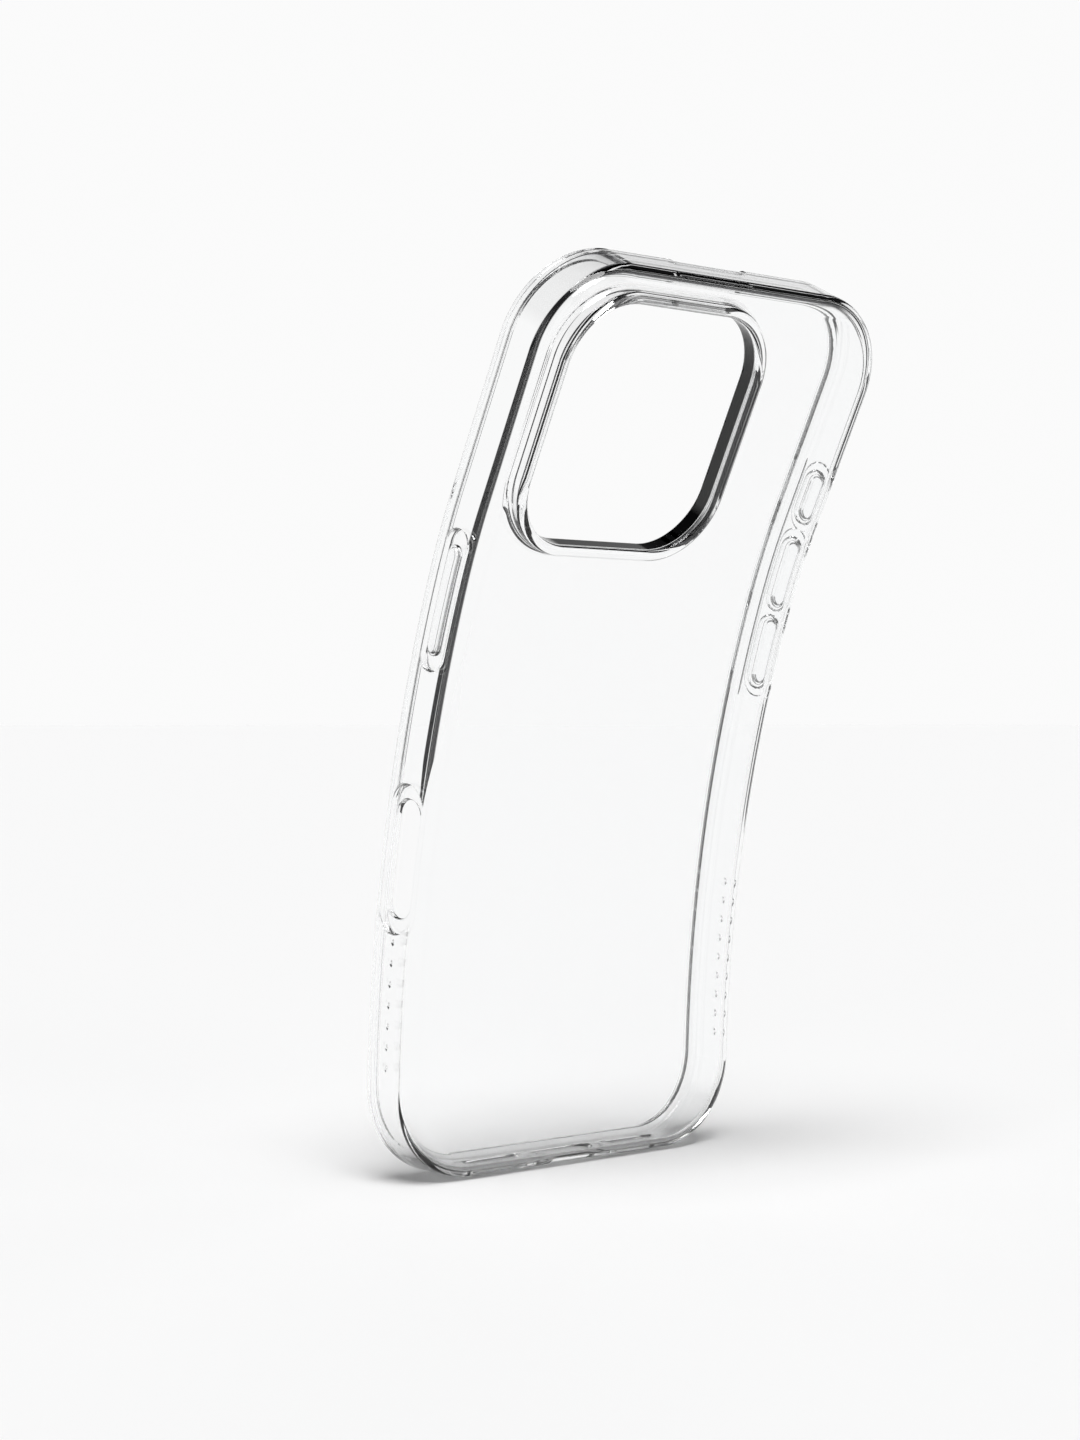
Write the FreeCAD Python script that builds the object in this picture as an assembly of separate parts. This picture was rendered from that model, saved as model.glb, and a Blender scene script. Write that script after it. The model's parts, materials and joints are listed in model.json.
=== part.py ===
"""Clear flexible case for a 6.3-inch phone, peeled back from the phone it is coming off.

The case is one soft moulding.  It is built here as the regions that move on their own: a lower
end that stays on the phone, six short flex zones, the stiff camera end, and four button covers
that are pressed in.  Each region is a set of separate solids: back panel, side walls, corners,
end walls, camera guard ring and button covers.

Frame: origin on the phone seat at the middle of the pocket's lower end, +X to the right seen
from behind, +Y from the back panel towards the screen, +Z towards the camera end.  Every solid
is first made in the straight case and then carried by the bend of its region.
"""
import FreeCAD, Part
import math
import os

from FreeCAD import Placement, Rotation, Vector

# The phone that the pocket is made for.
PHONE_WIDTH = 71.5
PHONE_LENGTH = 149.6
PHONE_THICKNESS = 8.25
PHONE_CORNER_RADIUS = 14.0

# The moulding.
WALL = 1.6
BACK = 1.5
LIP_OVERHANG = 1.2
LIP_THICKNESS = 1.35
BACK_EDGE_RADIUS = 3.0
LIP_EDGE_RADIUS = 1.1

# The bend: where the case hinges, and how far each hinge is bent at rest, in degrees.
HINGE_HEIGHTS = (14.0, 32.5, 50.6, 66.0, 79.6, 93.7, 103.0)
HINGE_ANGLES = (4.0, 4.3, 3.9, 3.1, 3.2, 2.4, 6.4)
HINGE_GAP = 0.2
NEUTRAL_Y = -BACK / 2

# The camera window and the guard ring that stands round it on the outside of the back.
WINDOW_CENTRE = (-13.6, 126.2)
WINDOW_WIDTH = 39.4
WINDOW_HEIGHT = 40.4
WINDOW_CORNER_RADIUS = 10.5
RING_WALL = 1.9
RING_HEIGHT = 3.0
RING_EDGE_RADIUS = 0.85

# Openings in the walls, all on the mid-thickness line of the phone.
SIDE_CENTRE_Y = 4.1
CONTROL_SLOT_CENTRE_Z = 51.1
CONTROL_SLOT_LENGTH = 19.2
CONTROL_SLOT_WIDTH = 5.4
CONTROL_BEVEL_LENGTH = 24.4
CONTROL_BEVEL_WIDTH = 7.4
CONTROL_BEVEL_DEPTH = 0.7
PORT_LENGTH = 12.8
PORT_WIDTH = 6.0
SPEAKER_SLOT_LENGTH = 11.0
SPEAKER_SLOT_WIDTH = 2.6
SPEAKER_SLOT_X = 15.5

# Button covers: name, side of the case, height, cap length and width, recess length and width,
# and the region that carries the cover.
BUTTON_COVERS = (
    ("side_button_cover", -1, 93.3, 18.0, 3.0, 23.0, 4.9, 5),
    ("action_button_cover", 1, 115.0, 8.0, 3.2, 9.7, 4.9, 7),
    ("volume_up_cover", 1, 100.8, 11.5, 3.2, 13.3, 4.9, 6),
    ("volume_down_cover", 1, 86.6, 11.5, 3.2, 13.3, 4.9, 5),
)
COVER_PROUD = 0.35
COVER_INSET = 0.15
COVER_EDGE_RADIUS = 0.5

OUTER_HALF_WIDTH = PHONE_WIDTH / 2 + WALL
OUTER_LOW = -WALL
OUTER_HIGH = PHONE_LENGTH + WALL
OUTER_CORNER_RADIUS = PHONE_CORNER_RADIUS + WALL
LIP_FRONT_Y = PHONE_THICKNESS + LIP_THICKNESS
CORNER_X = OUTER_HALF_WIDTH - OUTER_CORNER_RADIUS
UPPER_CORNER_Z = OUTER_HIGH - OUTER_CORNER_RADIUS

# Overlap given to every cutting tool, and the reach of the boxes that divide the shell.
CUT_CLEAR = 1.0
REACH = 200.0

# How far a measured place may be off and still count, and the short flat left between the two
# round ends of every stadium's short side, so that it stays a rounded rectangle.
TOLERANCE = 1e-6
STADIUM_FLAT = 0.02


def rounded_slab(centre_x, low_z, high_z, width, radius, low_y, high_y):
    """Slab with a rounded-rectangle outline in the XZ plane, from low_y to high_y."""
    left, right = centre_x - width / 2, centre_x + width / 2
    diagonal = radius * math.sqrt(0.5)
    corners = (
        (right - radius, high_z - radius, 1, 1),
        (right - radius, low_z + radius, 1, -1),
        (left + radius, low_z + radius, -1, -1),
        (left + radius, high_z - radius, -1, 1),
    )
    edges = []
    joins = []
    for x, z, side_x, side_z in corners:
        on_end = Vector(x, low_y, z + side_z * radius)
        middle = Vector(x + side_x * diagonal, low_y, z + side_z * diagonal)
        on_side = Vector(x + side_x * radius, low_y, z)
        start, end = (on_end, on_side) if side_x == side_z else (on_side, on_end)
        edges.append(Part.Arc(start, middle, end).toShape())
        joins.append((start, end))
    for (_, leaving), (arriving, _) in zip(joins, joins[1:] + joins[:1]):
        edges.append(Part.LineSegment(leaving, arriving).toShape())
    face = Part.Face(Part.Wire(Part.__sortEdges__(edges)))
    return face.extrude(Vector(0, high_y - low_y, 0))


def stadium_through_side(side, centre_z, length, width, low_x, high_x):
    """Stadium, long in Z, from distance low_x to high_x out from the middle of the case."""
    radius = (width - STADIUM_FLAT) / 2
    low_z, high_z = centre_z - length / 2, centre_z + length / 2
    slab = rounded_slab(SIDE_CENTRE_Y, low_z, high_z, width, radius, low_x, high_x)
    slab.Placement = Placement(Vector(0, 0, 0), Rotation(Vector(0, 0, 1), 90))
    return slab if side < 0 else slab.mirror(Vector(0, 0, 0), Vector(1, 0, 0))


def stadium_through_end(centre_x, length, width):
    """Stadium, long in X, through the wall at the lower end of the case."""
    radius = (width - STADIUM_FLAT) / 2
    low, high = SIDE_CENTRE_Y - width / 2, SIDE_CENTRE_Y + width / 2
    slab = rounded_slab(centre_x, low, high, length, radius, -CUT_CLEAR, WALL + CUT_CLEAR)
    slab.Placement = Placement(Vector(0, 0, 0), Rotation(Vector(1, 0, 0), -90))
    return slab


def edges_at_y(shape, y):
    """Edges that lie wholly in the plane at y."""
    flat = [e for e in shape.Edges if e.BoundBox.YLength < TOLERANCE]
    return [e for e in flat if abs(e.BoundBox.Center.y - y) < TOLERANCE]


def edges_at_x(shape, x):
    """Edges that lie wholly in the plane at x."""
    flat = [e for e in shape.Edges if e.BoundBox.XLength < TOLERANCE]
    return [e for e in flat if abs(e.BoundBox.Center.x - x) < TOLERANCE]


def box_between(low, high):
    """Box between two opposite corners."""
    size = [b - a for a, b in zip(low, high)]
    return Part.makeBox(*size, Vector(*low))


def full_shell():
    """The whole straight case without its button covers."""
    width = 2 * OUTER_HALF_WIDTH
    outer = rounded_slab(0, OUTER_LOW, OUTER_HIGH, width, OUTER_CORNER_RADIUS, -BACK, LIP_FRONT_Y)
    outer = outer.makeFillet(BACK_EDGE_RADIUS, edges_at_y(outer, -BACK))
    outer = outer.makeFillet(LIP_EDGE_RADIUS, edges_at_y(outer, LIP_FRONT_Y))
    pocket = rounded_slab(0, 0, PHONE_LENGTH, PHONE_WIDTH, PHONE_CORNER_RADIUS, 0, PHONE_THICKNESS)
    mouth = rounded_slab(
        0, LIP_OVERHANG, PHONE_LENGTH - LIP_OVERHANG, PHONE_WIDTH - 2 * LIP_OVERHANG,
        PHONE_CORNER_RADIUS - LIP_OVERHANG, PHONE_THICKNESS / 2, LIP_FRONT_Y + CUT_CLEAR
    )
    shell = outer.cut(pocket.fuse(mouth))
    return shell.cut(Part.Compound(openings()))


def openings():
    """Cutting tools for every opening in the shell."""
    inner_x = PHONE_WIDTH / 2 - CUT_CLEAR
    outer_x = OUTER_HALF_WIDTH + CUT_CLEAR
    tools = [window_slab(0, -BACK - CUT_CLEAR, CUT_CLEAR)]
    tools.append(stadium_through_side(
        -1, CONTROL_SLOT_CENTRE_Z, CONTROL_SLOT_LENGTH, CONTROL_SLOT_WIDTH, inner_x, outer_x))
    tools.append(stadium_through_side(
        -1, CONTROL_SLOT_CENTRE_Z, CONTROL_BEVEL_LENGTH, CONTROL_BEVEL_WIDTH,
        OUTER_HALF_WIDTH - CONTROL_BEVEL_DEPTH, outer_x))
    for _, side, centre_z, _, _, recess_length, recess_width, _ in BUTTON_COVERS:
        tools.append(
            stadium_through_side(side, centre_z, recess_length, recess_width, inner_x, outer_x))
    tools.append(stadium_through_end(0, PORT_LENGTH, PORT_WIDTH))
    for x in (-SPEAKER_SLOT_X, SPEAKER_SLOT_X):
        tools.append(stadium_through_end(x, SPEAKER_SLOT_LENGTH, SPEAKER_SLOT_WIDTH))
    return tools


def window_slab(margin, low_y, high_y):
    """The camera window's outline, wider by margin all round, from low_y to high_y."""
    centre_x, centre_z = WINDOW_CENTRE
    half_height = WINDOW_HEIGHT / 2 + margin
    return rounded_slab(
        centre_x, centre_z - half_height, centre_z + half_height, WINDOW_WIDTH + 2 * margin,
        WINDOW_CORNER_RADIUS + margin, low_y, high_y
    )


def camera_guard_ring():
    """Raised rim round the camera window, standing on the outside of the back panel."""
    rim_y = -BACK - RING_HEIGHT
    hole = window_slab(0, rim_y - CUT_CLEAR, -BACK + CUT_CLEAR)
    ring = window_slab(RING_WALL, rim_y, -BACK).cut(hole)
    return ring.makeFillet(RING_EDGE_RADIUS, edges_at_y(ring, rim_y))


def button_cover(side, centre_z, length, width):
    """Oval cap that stands a little proud of the wall, with its outer edge rounded."""
    low_x = PHONE_WIDTH / 2 + COVER_INSET
    high_x = OUTER_HALF_WIDTH + COVER_PROUD
    cap = stadium_through_side(side, centre_z, length, width, low_x, high_x)
    return cap.makeFillet(COVER_EDGE_RADIUS, edges_at_x(cap, side * high_x))


def region_limits():
    """Low and high end of each region along the straight case."""
    half_gap = HINGE_GAP / 2
    lows = [-REACH] + [z + half_gap for z in HINGE_HEIGHTS]
    highs = [z - half_gap for z in HINGE_HEIGHTS] + [REACH]
    return list(zip(lows, highs))


def region_bends():
    """Placement that carries each region from the straight case to the bent one."""
    bend = Placement()
    bends = [bend]
    for height, angle in zip(HINGE_HEIGHTS, HINGE_ANGLES):
        rotation = Rotation(Vector(1, 0, 0), angle)
        bend = bend.multiply(Placement(Vector(0, 0, 0), rotation, Vector(0, NEUTRAL_Y, height)))
        bends.append(bend)
    return bends


def side_part(walls, side, low_z, high_z):
    """The part of the walls at one side of the case, between two heights."""
    low_x, high_x = sorted((side * CORNER_X, side * REACH))
    return walls.common(box_between((low_x, -REACH, low_z), (high_x, REACH, high_z)))


def end_nodes(walls, number, word):
    """The straight end wall and its two corners."""
    middle = walls.common(box_between((-CORNER_X, -REACH, -REACH), (CORNER_X, REACH, REACH)))
    return [
        (f"{word}_end_wall", number, middle),
        (f"{word}_left_corner", number, side_part(walls, -1, -REACH, REACH)),
        (f"{word}_right_corner", number, side_part(walls, 1, -REACH, REACH)),
    ]


def shell_nodes(shell):
    """Name, region number and solid of every piece that the shell is divided into."""
    nodes = []
    last = len(HINGE_HEIGHTS)
    for number, (low, high) in enumerate(region_limits()):
        region = shell.common(box_between((-REACH, -REACH, low), (REACH, REACH, high)))
        back = region.common(box_between((-REACH, -REACH, low), (REACH, 0, high)))
        walls = region.common(box_between((-REACH, 0, low), (REACH, REACH, high)))
        if number == 0:
            nodes.append(("back_panel_lower_end", number, back))
            nodes += end_nodes(walls, number, "lower")
            continue
        word = "camera_end" if number == last else f"zone_{number}"
        nodes.append((f"back_panel_{word}", number, back))
        nodes.append((f"left_wall_{word}", number, side_part(walls, -1, low, UPPER_CORNER_Z)))
        nodes.append((f"right_wall_{word}", number, side_part(walls, 1, low, UPPER_CORNER_Z)))
        if number == last:
            upper = walls.common(box_between((-REACH, 0, UPPER_CORNER_Z), (REACH, REACH, high)))
            nodes += end_nodes(upper, number, "upper")
    return nodes


def all_nodes():
    """Every node of the case in its bent place: name to solid."""
    pieces = shell_nodes(full_shell())
    pieces.append(("camera_guard_ring", len(HINGE_HEIGHTS), camera_guard_ring()))
    for name, side, centre_z, length, width, _, _, region in BUTTON_COVERS:
        pieces.append((name, region, button_cover(side, centre_z, length, width)))
    bends = [bend.toMatrix() for bend in region_bends()]
    return {name: solid.transformed(bends[number], copy=True) for name, number, solid in pieces}


os.makedirs("parts", exist_ok=True)
for node, solid in all_nodes().items():
    solids = solid.Solids
    print(f"{node:26s} solids {len(solids)}  volume {solid.Volume:8.2f} mm3  valid {solid.isValid()}")
    Part.Compound(solids).exportStep(f"parts/{node}.step")
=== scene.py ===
import json
import math

import bpy
import numpy as np
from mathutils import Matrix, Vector


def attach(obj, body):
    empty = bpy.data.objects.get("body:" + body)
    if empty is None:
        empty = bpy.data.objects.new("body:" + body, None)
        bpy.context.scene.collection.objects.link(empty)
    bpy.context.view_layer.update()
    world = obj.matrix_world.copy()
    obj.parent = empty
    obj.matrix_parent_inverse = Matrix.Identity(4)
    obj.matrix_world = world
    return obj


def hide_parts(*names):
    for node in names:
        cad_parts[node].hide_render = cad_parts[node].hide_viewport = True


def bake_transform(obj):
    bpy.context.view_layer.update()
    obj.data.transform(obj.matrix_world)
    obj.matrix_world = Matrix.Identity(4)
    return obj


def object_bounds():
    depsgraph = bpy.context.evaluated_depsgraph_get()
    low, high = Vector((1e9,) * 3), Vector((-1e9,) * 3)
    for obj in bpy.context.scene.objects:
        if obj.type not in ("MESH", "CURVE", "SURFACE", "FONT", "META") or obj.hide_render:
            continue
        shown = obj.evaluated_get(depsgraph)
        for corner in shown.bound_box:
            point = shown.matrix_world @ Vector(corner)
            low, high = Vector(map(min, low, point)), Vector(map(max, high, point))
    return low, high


# The clear case is one soft moulding.  Its surface is worked out here as one signed distance
# in the straight case, in millimetres: x to the right seen from behind, y from the phone seat
# towards the screen, z from the pocket's lower end.  The surface is meshed once, bent along the
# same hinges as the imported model, and parted into a piece for each hinge and the stiff stretches
# below and above them.  Neighbouring pieces share their edge, with no face between them, so that
# the clear plastic shows no seam.

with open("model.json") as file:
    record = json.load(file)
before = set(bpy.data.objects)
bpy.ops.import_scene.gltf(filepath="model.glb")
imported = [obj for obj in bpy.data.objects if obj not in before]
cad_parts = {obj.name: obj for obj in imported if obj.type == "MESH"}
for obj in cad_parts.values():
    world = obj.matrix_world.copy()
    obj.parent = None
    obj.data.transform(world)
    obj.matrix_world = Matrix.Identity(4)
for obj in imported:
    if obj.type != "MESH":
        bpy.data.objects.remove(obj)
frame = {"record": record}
CAD_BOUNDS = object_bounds()
MM = 0.001

# The moulding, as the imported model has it.
HALF_WIDTH = 37.35
LOW_END = -1.6
HIGH_END = 151.2
WALL = 1.6
CORNER = 15.6
BACK_Y = -1.5
SEAT_Y = 0.0
LIP_UNDER_Y = 8.25
LIP_FRONT_Y = 9.6
LIP_OVERHANG = 1.2
SIDE_Y = 4.1
NEUTRAL_Y = BACK_Y / 2
BACK_ROUNDING = 3.2
LIP_ROUNDING = 1.1
SEAT_ROUNDING = 1.6
LIP_CORNER_ROUNDING = 0.4
OPENING_ROUNDING = 0.25

# Hinge heights and rest angles, and the heights where one bend zone meets the next.
HINGES = (14.0, 32.5, 50.6, 66.0, 79.6, 93.7, 103.0)
ANGLES = tuple(math.radians(a) for a in (4.0, 4.3, 3.9, 3.1, 3.2, 2.4, 6.4))
SEAMS = (5.0, 23.0, 42.0, 59.2, 72.8, 86.4, 96.5, 110.0)
TOP_SEAM = 131.0

# Camera window, ring, slot and buttons.
WINDOW = (-13.6, 126.2, 19.7, 20.2, 10.5)
RING_WALL = 1.9
RIM_Y = -4.5
RIM_ROUNDING = 0.95
RING_FILLET = 1.3
WINDOW_ROUNDING = 0.85
SLOT_Z = 51.1
SLOT_SIZE = (19.2, 5.4)
SLOT_FLARE = (24.4, 7.5)
SLOT_FLARE_DEPTH = 0.85
PORT_SIZE = (12.8, 6.0)
PORT_FLARE = (17.4, 7.6)
PORT_FLARE_DEPTH = 0.5
SPEAKER_X = 15.5
SPEAKER_SIZE = (11.0, 2.6)
COVERS = {
    "side_button": dict(side=-1, z=93.3, cap=(18.0, 3.3), recess=(23.0, 5.2), parent="flex_zone_5"),
    "action_button": dict(side=1, z=115.0, cap=(8.7, 3.6), recess=(9.9, 4.9), parent="camera_end"),
    "volume_up": dict(side=1, z=100.8, cap=(12.1, 3.6), recess=(13.3, 4.9), parent="flex_zone_6"),
    "volume_down": dict(side=1, z=86.6, cap=(12.1, 3.6), recess=(13.3, 4.9), parent="flex_zone_5"),
}
WEB_THICKNESS = 0.45
COVER_PROUD = 0.4
COVER_LIFT = 0.52
COVER_STEP = 0.5

# Shallow details: the pads that the right-hand covers lie in, as middle height and length, the
# channel inside the wall behind them, the relief in the top lip and the rows of grip pips.
PADS = ((115.1, 12.4), (93.7, 30.2))
PAD_WIDTH = 6.4
PAD_DEPTH = 0.14
CHANNEL_Z = 99.5
CHANNEL_HALF_LENGTH = 21.5
CHANNEL_HALF_WIDTH = 3.0
CHANNEL_DEPTH = 0.17
CHANNEL_FADE = 2
RELIEF_HALF_WIDTH = 7.8
RELIEF_DEPTH = 0.45
PIP_MIDDLE_Z = 31.0
PIP_PITCH = 3.4
PIPS_EACH_WAY = 4
PIP_RADIUS = 0.95
PIP_SUNK = 0.75

# Grid lines that the shell is meshed on: places and, between them, spacings.
X_GRID = (-38.2, 0.16, -34.6, 0.26, -21.5, 1.0, -5.0, 0.26, 9.0, 1.0, 21.5, 0.26, 34.6, 0.16, 38.2)
Y_GRID = (-4.8, 0.16, -3.4, 0.25, -2.8, 0.16, 0.6, 0.2, 7.2, 0.14, 10.0)
Z_GRID = (-2.4, 0.16, 2.0, 0.26, 63.7, 0.6, 78.0, 0.26, 121.0, 0.6, 135.0, 0.26, 147.0, 0.16, 152.0)
COVER_CELL = 0.11

# Bright panels round the object, with as many dark strips between them.
PANELS = 8


# Distance helpers -----------------------------------------------------------------------------
def round_max(a, b, radius):
    """Intersection of two solids, with the edge between them rounded."""
    outside = np.hypot(np.maximum(a + radius, 0), np.maximum(b + radius, 0))
    return np.minimum(np.maximum(a, b), -radius) + outside


def round_min(a, b, radius):
    """Union of two solids, with a fillet in the corner between them."""
    return -round_max(-a, -b, radius)


def rounded_rectangle(u, v, half_u, half_v, radius):
    """Distance to a rounded rectangle about the origin of u, v."""
    du = np.abs(u) - half_u + radius
    dv = np.abs(v) - half_v + radius
    return np.hypot(np.maximum(du, 0), np.maximum(dv, 0)) + np.minimum(np.maximum(du, dv), 0) - radius


def stadium(along, across, length, width):
    """Distance to a stadium of the given length and width."""
    straight = (length - width) / 2
    return np.hypot(np.maximum(np.abs(along) - straight, 0), across) - width / 2


# The moulding ---------------------------------------------------------------------------------
def plan(x, z, inset):
    """Distance to the case's outline, drawn in by inset."""
    middle = (LOW_END + HIGH_END) / 2
    return rounded_rectangle(x, z - middle, HALF_WIDTH, (HIGH_END - LOW_END) / 2, CORNER) + inset


def pocket(x, y, z):
    """The hollow that the phone sits in, with the narrower mouth inside the lip."""
    walls = plan(x, z, WALL)
    hollow = round_max(walls, SEAT_Y - y, SEAT_ROUNDING)
    hollow = round_max(hollow, y - LIP_UNDER_Y, LIP_CORNER_ROUNDING)
    mouth = np.maximum(walls + LIP_OVERHANG, SIDE_Y - y)
    relief = rounded_rectangle(x, z - HIGH_END, RELIEF_HALF_WIDTH, WALL + RELIEF_DEPTH, 0.3)
    mouth = round_min(mouth, np.maximum(relief, LIP_UNDER_Y - 0.4 - y), 0.3)
    along = np.abs(z - CHANNEL_Z)
    depth = CHANNEL_DEPTH * np.clip((CHANNEL_HALF_LENGTH - along) / CHANNEL_FADE, 0, 1)
    channel = np.maximum(np.abs(y - SIDE_Y) - CHANNEL_HALF_WIDTH, np.abs(x - HALF_WIDTH + WALL) - depth)
    channel = np.maximum(channel, along - CHANNEL_HALF_LENGTH + 0.1)
    return np.minimum(round_min(hollow, mouth, 0.2), channel)


def control_slot(x, y, z):
    """The open slot in the left wall, with its flared rim."""
    through = stadium(z - SLOT_Z, y - SIDE_Y, *SLOT_SIZE)
    flare = stadium(z - SLOT_Z, y - SIDE_Y, *SLOT_FLARE)
    dish = round_max(flare, x + HALF_WIDTH - SLOT_FLARE_DEPTH, 0.6)
    cut = round_min(np.maximum(through, x + HALF_WIDTH - 3), dish, 0.5)
    return np.maximum(cut, x + 20)


def end_openings(x, y, z):
    """Charging port and the two speaker slots in the lower end wall."""
    port = stadium(x, y - SIDE_Y, *PORT_SIZE)
    flare = round_max(stadium(x, y - SIDE_Y, *PORT_FLARE), z - (LOW_END + PORT_FLARE_DEPTH), 0.4)
    speakers = stadium(np.abs(x) - SPEAKER_X, y - SIDE_Y, *SPEAKER_SIZE)
    return np.maximum(np.minimum(np.minimum(port, flare), speakers), z - 3)


def cover_recesses(x, y, z):
    """Recesses round the button covers, down to a thin web, and the shallow pads they lie in."""
    depth = WALL - WEB_THICKNESS
    cut = np.full(np.broadcast(x, y, z).shape, 10.0)
    for cover in COVERS.values():
        reach = HALF_WIDTH - depth - cover["side"] * x
        outline = stadium(z - cover["z"], y - SIDE_Y, *cover["recess"])
        cut = np.minimum(cut, round_max(outline, reach, 0.3))
    for centre, length in PADS:
        pad = stadium(z - centre, y - SIDE_Y, length, PAD_WIDTH)
        cut = np.minimum(cut, round_max(pad, HALF_WIDTH - PAD_DEPTH - x, 0.1))
    return cut


def grip_pips(x, y, z):
    """Rows of low round pips on both side walls near the lower end."""
    row = np.clip(np.round((z - PIP_MIDDLE_Z) / PIP_PITCH), -PIPS_EACH_WAY, PIPS_EACH_WAY)
    along = z - PIP_MIDDLE_Z - row * PIP_PITCH
    out = np.abs(x) - HALF_WIDTH + PIP_SUNK
    return np.sqrt(out ** 2 + along ** 2 + (y - SIDE_Y) ** 2) - PIP_RADIUS


def shell_distance(x, y, z):
    """Signed distance to the whole moulding without its button covers."""
    outer = round_max(plan(x, z, 0.0), BACK_Y - y, BACK_ROUNDING)
    outer = round_max(outer, y - LIP_FRONT_Y, LIP_ROUNDING)
    outer = round_min(outer, grip_pips(x, y, z), 0.25)
    centre_x, centre_z, half_x, half_z, corner = WINDOW
    window = rounded_rectangle(x - centre_x, z - centre_z, half_x, half_z, corner)
    rim = np.maximum(round_max(window - RING_WALL, RIM_Y - y, RIM_ROUNDING), y - NEUTRAL_Y)
    body = round_min(outer, rim, RING_FILLET)
    body = round_max(body, -pocket(x, y, z), OPENING_ROUNDING)
    body = round_max(body, -np.maximum(window, y - SIDE_Y), WINDOW_ROUNDING)
    for cut in (control_slot, end_openings, cover_recesses):
        body = round_max(body, -cut(x, y, z), OPENING_ROUNDING)
    return body


def cover_distance(cover):
    """Signed distance to one button cover: a rounded bar with a smaller raised top."""
    length, width = cover["cap"]

    def distance(x, y, z):
        out = cover["side"] * x
        base = stadium(z - cover["z"], y - SIDE_Y, length, width)
        top = base + COVER_STEP
        low = HALF_WIDTH - WALL + WEB_THICKNESS + COVER_LIFT
        skirt = round_max(round_max(base, out - HALF_WIDTH, 0.25), low - out, 0.2)
        raised = round_max(round_max(top, out - HALF_WIDTH - COVER_PROUD, 0.35), low - out, 0.2)
        return round_min(skirt, raised, 0.2)

    return distance


# Meshing --------------------------------------------------------------------------------------
def gradient(distance, points):
    """Unit gradient of the distance at the points."""
    step = 0.01
    parts = []
    for axis in np.eye(3) * step:
        parts.append(distance(*(points + axis).T) - distance(*(points - axis).T))
    slope = np.stack(parts, axis=1)
    return slope / np.maximum(np.linalg.norm(slope, axis=1, keepdims=True), 1e-9)


def graded(*stops):
    """Grid lines from a, step, b, step, c ...: the places a, b, c and steps no longer than given."""
    lines = [np.array(stops[:1])]
    for start, step, end in zip(stops[0::2], stops[1::2], stops[2::2]):
        lines.append(np.linspace(start, end, math.ceil((end - start) / step) + 1)[1:])
    return np.concatenate(lines)


def surface_net(distance, axes):
    """Quads on the zero surface of the distance, with their corners moved exactly onto it."""
    x, y = axes[0][:, None, None], axes[1][None, :, None]
    layers = [distance(x, y, part[None, None, :]) < 0 for part in np.array_split(axes[2], 24)]
    inside = np.concatenate(layers, axis=2)
    count = np.zeros([n - 1 for n in inside.shape], np.int8)
    for corner in np.ndindex(2, 2, 2):
        window = tuple(slice(c, n - 1 + c) for c, n in zip(corner, inside.shape))
        count += inside[window]
    active = (count > 0) & (count < 8)
    number = np.full(active.shape, -1, np.int32)
    number[active] = np.arange(active.sum())
    cells = np.argwhere(active)
    middles = [(lines[1:] + lines[:-1]) / 2 for lines in axes]
    points = np.stack([middles[a][cells[:, a]] for a in range(3)], axis=1)
    for _ in range(3):
        points -= gradient(distance, points) * distance(*points.T)[:, None]
    quads = []
    for axis in range(3):
        near = [slice(1, n - 1) for n in inside.shape]
        far = list(near)
        near[axis], far[axis] = slice(0, -1), slice(1, None)
        first, second = inside[tuple(near)], inside[tuple(far)]
        place = np.argwhere(first != second) + [0 if a == axis else 1 for a in range(3)]
        leaving = inside[tuple(place.T)]
        b, c = np.eye(3, dtype=int)[(axis + 1) % 3], np.eye(3, dtype=int)[(axis + 2) % 3]
        ring = [number[tuple((place - shift).T)] for shift in (b + c, c, 0 * b, b)]
        ring = np.stack(ring, axis=1)
        ring[~leaving] = ring[~leaving][:, ::-1]
        quads.append(ring)
    return points, np.concatenate(quads)


# Bending --------------------------------------------------------------------------------------
def bend(points, normals):
    """Carries points and normals of the straight case to its bent rest place, in metres."""
    spacing = 0.05
    height = np.arange(LOW_END - 1, HIGH_END + 1, spacing)
    zone = np.clip(np.searchsorted(SEAMS, height + spacing / 2) - 1, -1, len(ANGLES))
    rates = [a / (high - low) for a, low, high in zip(ANGLES, SEAMS, SEAMS[1:])]
    rate = np.array([0.0] + rates + [0.0])[zone + 1]
    angle = np.concatenate([[0.0], np.cumsum(rate * spacing)[:-1]])
    middle = angle + rate * spacing / 2
    back = -np.concatenate([[0.0], np.cumsum(np.sin(middle) * spacing)[:-1]])
    rise = height[0] + np.concatenate([[0.0], np.cumsum(np.cos(middle) * spacing)[:-1]])
    turn, y0, z0 = (np.interp(points[:, 2], height, values) for values in (angle, back, rise))
    cosine, sine = np.cos(turn), np.sin(turn)
    out = points[:, 1] - NEUTRAL_Y
    placed = np.stack([points[:, 0], NEUTRAL_Y + y0 + out * cosine, z0 + out * sine], axis=1)
    ny, nz = normals[:, 1], normals[:, 2]
    turned = np.stack([normals[:, 0], ny * cosine - nz * sine, ny * sine + nz * cosine], axis=1)
    return placed * MM, turned


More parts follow.
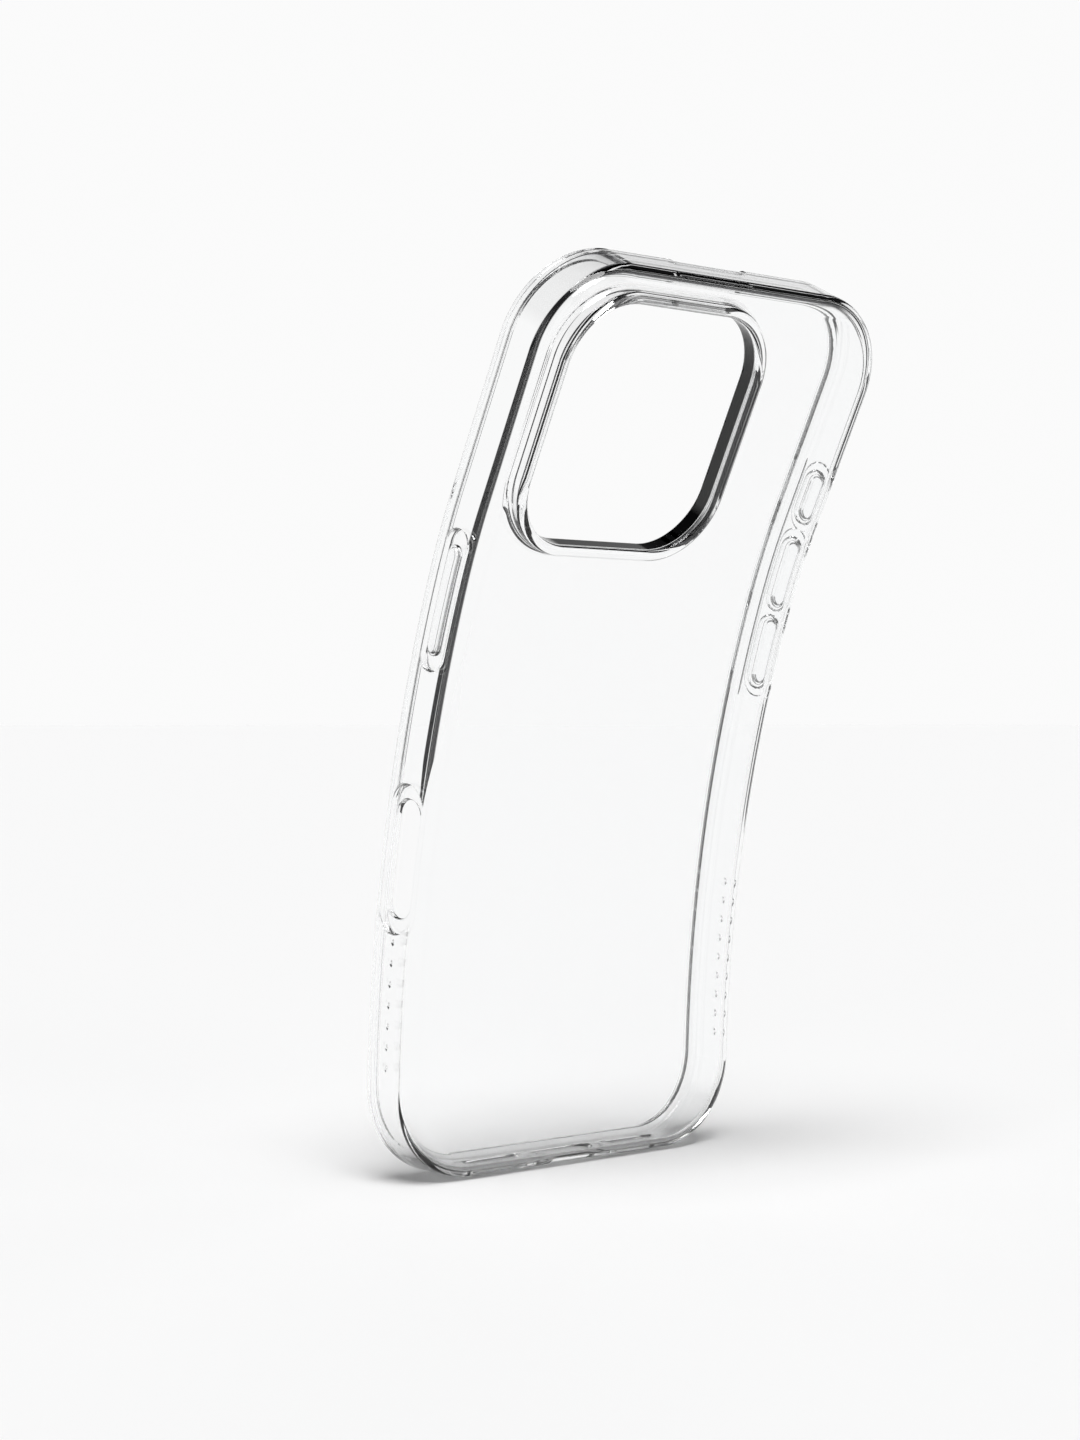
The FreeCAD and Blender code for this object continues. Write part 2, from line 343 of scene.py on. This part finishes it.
def mesh_object(name, points, normals, quads, material):
    """Blender object from quads, shaded with the surface's own normals."""
    used, corner = np.unique(quads, return_inverse=True)
    corner = corner.reshape(quads.shape)
    mesh = bpy.data.meshes.new(name)
    mesh.vertices.add(len(used))
    mesh.vertices.foreach_set("co", points[used].astype(np.float32).ravel())
    mesh.loops.add(corner.size)
    mesh.loops.foreach_set("vertex_index", corner.astype(np.int32).ravel())
    mesh.polygons.add(len(corner))
    mesh.polygons.foreach_set("loop_start", np.arange(0, corner.size, 4, dtype=np.int32))
    mesh.update(calc_edges=True)
    mesh.validate()
    mesh.shade_smooth()
    mesh.normals_split_custom_set_from_vertices(normals[used])
    mesh.materials.append(material)
    obj = bpy.data.objects.new(name, mesh)
    bpy.context.scene.collection.objects.link(obj)
    return obj


# Materials ------------------------------------------------------------------------------------
def clear_plastic(name, roughness, tint):
    """Water-clear soft plastic: glossy, with a faint mould texture and handling haze."""
    material = bpy.data.materials.new(name)
    material.use_nodes = True
    nodes, links = material.node_tree.nodes, material.node_tree.links
    shader = nodes["Principled BSDF"]
    shader.inputs["Base Color"].default_value = (*tint, 1)
    shader.inputs["Transmission Weight"].default_value = 1.0
    shader.inputs["IOR"].default_value = 1.49
    place = nodes.new("ShaderNodeTexCoord")
    haze = nodes.new("ShaderNodeTexNoise")
    haze.inputs["Scale"].default_value = 55.0
    haze.inputs["Detail"].default_value = 6.0
    links.new(place.outputs["Object"], haze.inputs["Vector"])
    spread = nodes.new("ShaderNodeMapRange")
    spread.inputs["From Min"].default_value = 0.35
    spread.inputs["From Max"].default_value = 0.75
    spread.inputs["To Min"].default_value = roughness
    spread.inputs["To Max"].default_value = roughness + 0.012
    links.new(haze.outputs["Fac"], spread.inputs["Value"])
    links.new(spread.outputs["Result"], shader.inputs["Roughness"])
    ripple = nodes.new("ShaderNodeTexNoise")
    ripple.inputs["Scale"].default_value = 160.0
    ripple.inputs["Detail"].default_value = 2.0
    links.new(place.outputs["Object"], ripple.inputs["Vector"])
    bump = nodes.new("ShaderNodeBump")
    bump.inputs["Strength"].default_value = 0.015
    bump.inputs["Distance"].default_value = 0.0002
    links.new(ripple.outputs["Fac"], bump.inputs["Height"])
    links.new(bump.outputs["Normal"], shader.inputs["Normal"])
    return material


# The pieces -----------------------------------------------------------------------------------
def shell_pieces():
    """The bent shell: a piece for each hinge, and the stiff stretches below and above them."""
    points, quads = surface_net(shell_distance, [graded(*X_GRID), graded(*Y_GRID), graded(*Z_GRID)])
    placed, turned = bend(points, gradient(shell_distance, points))
    material = clear_plastic("clear_shell", 0.002, (0.992, 0.995, 0.996))
    lowest = points[quads, 2].min(axis=1)
    chain = ["lower_end"] + [f"flex_zone_{n}" for n in range(1, len(HINGES))] + ["camera_end"]
    bodies = frame["record"]["behaviour"]["bodies"]
    upper_nodes = ["upper_end_wall", "upper_left_corner", "upper_right_corner"]
    panel_nodes = [f"{word}_camera_end" for word in ("back_panel", "left_wall", "right_wall")]

    def part(name, low, high, replaced):
        piece = mesh_object(name, placed, turned, quads[(lowest >= low) & (lowest < high)], material)
        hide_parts(*replaced)
        return piece

    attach(part("shell_lower_end", -np.inf, SEAMS[0], bodies["lower_end"]), "lower_end")
    for number, (low, high) in enumerate(zip(SEAMS, SEAMS[1:])):
        below, above = chain[number], chain[number + 1]
        replaced = panel_nodes if above == "camera_end" else bodies[above]
        piece = part(f"shell_bend_{number + 1}", low, high, replaced)
        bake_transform(piece)
    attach(part("shell_camera_window", SEAMS[-1], TOP_SEAM, ["camera_guard_ring"]), "camera_end")
    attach(part("shell_upper_end", TOP_SEAM, np.inf, upper_nodes), "camera_end")


def button_covers():
    """The four button covers, each its own closed piece."""
    material = clear_plastic("clear_button_cover", 0.006, (0.992, 0.995, 0.996))
    for name, cover in COVERS.items():
        distance = cover_distance(cover)
        length, width = cover["cap"]
        near, far = HALF_WIDTH - WALL, HALF_WIDTH + COVER_PROUD + COVER_CELL
        first, last = sorted((cover["side"] * near, cover["side"] * far))
        x_lines = graded(first, COVER_CELL, last)
        half_width, half_length = width / 2 + COVER_CELL, length / 2 + COVER_CELL
        y_lines = graded(SIDE_Y - half_width, COVER_CELL, SIDE_Y + half_width)
        z_lines = graded(cover["z"] - half_length, COVER_CELL, cover["z"] + half_length)
        points, quads = surface_net(distance, [x_lines, y_lines, z_lines])
        placed, turned = bend(points, gradient(distance, points))
        piece = mesh_object(f"{name}_cap", placed, turned, quads, material)
        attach(piece, name)
        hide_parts(f"{name}_cover")


# Studio ---------------------------------------------------------------------------------------
def ramp(nodes, low, low_colour, high, high_colour):
    """Colour ramp between two colours."""
    node = nodes.new("ShaderNodeValToRGB")
    for element, place, colour in zip(node.color_ramp.elements, (low, high), (low_colour, high_colour)):
        element.position = place
        element.color = (*colour, 1)
    return node


def math_node(nodes, links, operation, source, *values):
    """Math node on a socket, with fixed values in its other inputs."""
    node = nodes.new("ShaderNodeMath")
    node.operation = operation
    links.new(source, node.inputs[0])
    for place, value in enumerate(values, 1):
        node.inputs[place].default_value = value
    return node


def studio():
    """Pale floor and soft surroundings: bright panels with dark strips between, for the outlines."""
    scene = bpy.context.scene
    scene.view_settings.view_transform = "Standard"
    lowest = CAD_BOUNDS[0][2]
    bpy.ops.mesh.primitive_plane_add(size=60, location=(0, 0, lowest - 0.0002))
    floor = bpy.context.object
    floor.name = "floor"
    material = bpy.data.materials.new("pale_floor")
    material.use_nodes = True
    shader = material.node_tree.nodes["Principled BSDF"]
    shader.inputs["Base Color"].default_value = (0.86, 0.86, 0.86, 1)
    shader.inputs["Roughness"].default_value = 0.9
    shader.inputs["Specular IOR Level"].default_value = 0.0
    floor.data.materials.append(material)

    world = bpy.data.worlds.new("studio")
    scene.world = world
    world.use_nodes = True
    nodes, links = world.node_tree.nodes, world.node_tree.links
    background = nodes["Background"]
    direction = nodes.new("ShaderNodeTexCoord")
    split = nodes.new("ShaderNodeSeparateXYZ")
    links.new(direction.outputs["Generated"], split.inputs["Vector"])
    azimuth = math_node(nodes, links, "ARCTAN2", split.outputs["Y"])
    links.new(split.outputs["X"], azimuth.inputs[1])
    eighths = math_node(nodes, links, "MULTIPLY", azimuth.outputs[0], PANELS)
    wave = math_node(nodes, links, "COSINE", eighths.outputs[0])
    half = math_node(nodes, links, "MULTIPLY_ADD", wave.outputs[0], 0.5, 0.5)
    panels = ramp(nodes, 0.34, (0.015, 0.015, 0.016), 0.48, (0.95, 0.95, 0.95))
    links.new(half.outputs[0], panels.inputs["Fac"])
    overhead = ramp(nodes, 0.40, (1, 1, 1), 0.60, (0.06, 0.06, 0.063))
    links.new(split.outputs["Z"], overhead.inputs["Fac"])
    blend = nodes.new("ShaderNodeMix")
    blend.data_type = "RGBA"
    blend.blend_type = "MULTIPLY"
    blend.inputs["Factor"].default_value = 1.0
    links.new(panels.outputs["Color"], blend.inputs["A"])
    links.new(overhead.outputs["Color"], blend.inputs["B"])
    path = nodes.new("ShaderNodeLightPath")
    seen = nodes.new("ShaderNodeMix")
    seen.data_type = "RGBA"
    links.new(path.outputs["Is Camera Ray"], seen.inputs["Factor"])
    links.new(blend.outputs["Result"], seen.inputs["A"])
    seen.inputs["B"].default_value = (0.962, 0.962, 0.962, 1)
    links.new(seen.outputs["Result"], background.inputs["Color"])

    sun = bpy.data.lights.new("overhead", "SUN")
    sun.energy = 3.2
    sun.angle = math.radians(40)
    lamp = bpy.data.objects.new("overhead", sun)
    lamp.rotation_euler = (math.radians(18), math.radians(-14), 0)
    scene.collection.objects.link(lamp)


def camera():
    """Camera: level, at a viewing angle that shows the back and the left wall."""
    azimuth = math.radians(-40.45)
    lens = bpy.data.cameras.new("camera")
    lens.lens = 62.2
    lens.clip_start = 0.01
    eye = bpy.data.objects.new("camera", lens)
    eye.location = (-0.2813, -0.3213, 0.0743)
    look = Vector((-math.sin(azimuth), math.cos(azimuth), 0))
    eye.rotation_euler = look.to_track_quat("-Z", "Y").to_euler()
    bpy.context.scene.collection.objects.link(eye)
    bpy.context.scene.camera = eye


studio()
camera()
shell_pieces()
button_covers()
